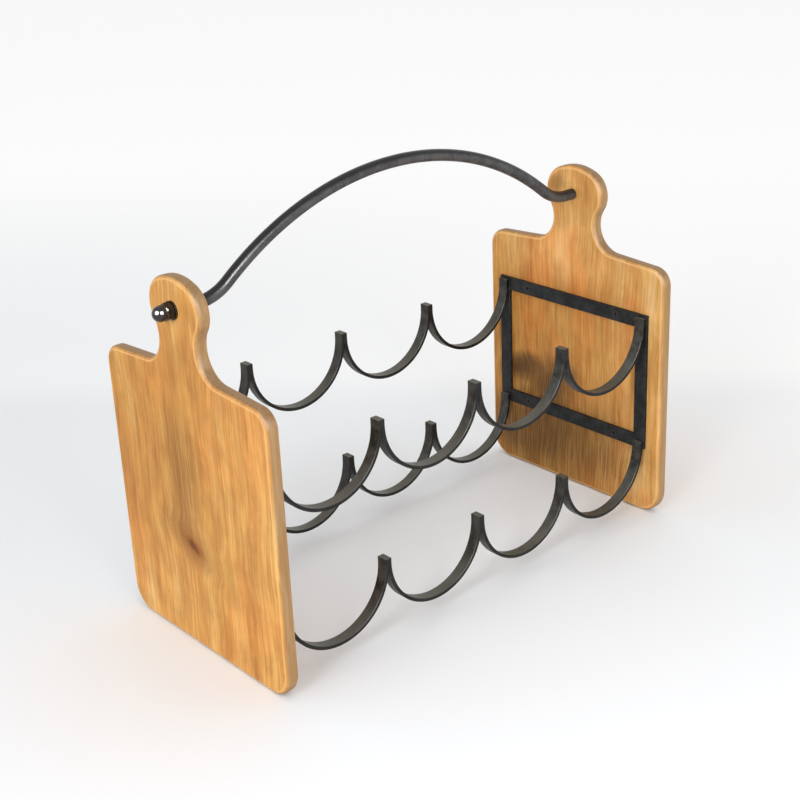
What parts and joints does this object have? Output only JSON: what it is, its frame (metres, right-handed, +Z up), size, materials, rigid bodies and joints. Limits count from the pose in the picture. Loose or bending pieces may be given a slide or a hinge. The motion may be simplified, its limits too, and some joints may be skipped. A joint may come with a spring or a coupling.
{
  "type": "tabletop wine rack",
  "caption": "Countertop wine rack with cutting-board-shaped wooden ends, bent black strap cradles in two layers and an arched carrying handle.",
  "frame": {"origin": "on the table, under the middle of the rack", "axes": "+X from the left board to the right one, +Y from front to back, +Z up"},
  "size_m": [0.4732, 0.214, 0.3625],
  "materials": {
    "wood": "satin oiled, honey brown",
    "black_iron": "satin black, slightly mottled",
    "black_fittings": "semi-gloss black",
    "black_screws": "satin black"
  },
  "bodies": {
    "root": {"left_board": "wood", "left_front_upright": "black_iron", "left_rear_upright": "black_iron", "left_lower_bar": "black_iron", "left_top_bar": "black_iron", "left_frame_screws": "black_screws", "left_washer": "black_fittings", "left_cap_nut": "black_fittings", "right_board": "wood", "right_front_upright": "black_iron", "right_rear_upright": "black_iron", "right_lower_bar": "black_iron", "right_top_bar": "black_iron", "right_frame_screws": "black_screws", "right_washer": "black_fittings", "right_cap_nut": "black_fittings", "cradle_bottom_front_1": "black_iron", "cradle_bottom_front_2": "black_iron", "cradle_bottom_front_3": "black_iron", "cradle_bottom_front_4": "black_iron", "cradle_bottom_rear_1": "black_iron", "cradle_bottom_rear_2": "black_iron", "cradle_bottom_rear_3": "black_iron", "cradle_bottom_rear_4": "black_iron", "cradle_top_front_1": "black_iron", "cradle_top_front_2": "black_iron", "cradle_top_front_3": "black_iron", "cradle_top_front_4": "black_iron", "cradle_top_rear_1": "black_iron", "cradle_top_rear_2": "black_iron", "cradle_top_rear_3": "black_iron", "cradle_top_rear_4": "black_iron", "handle_bar": "black_iron"}
  },
  "joints": []
}
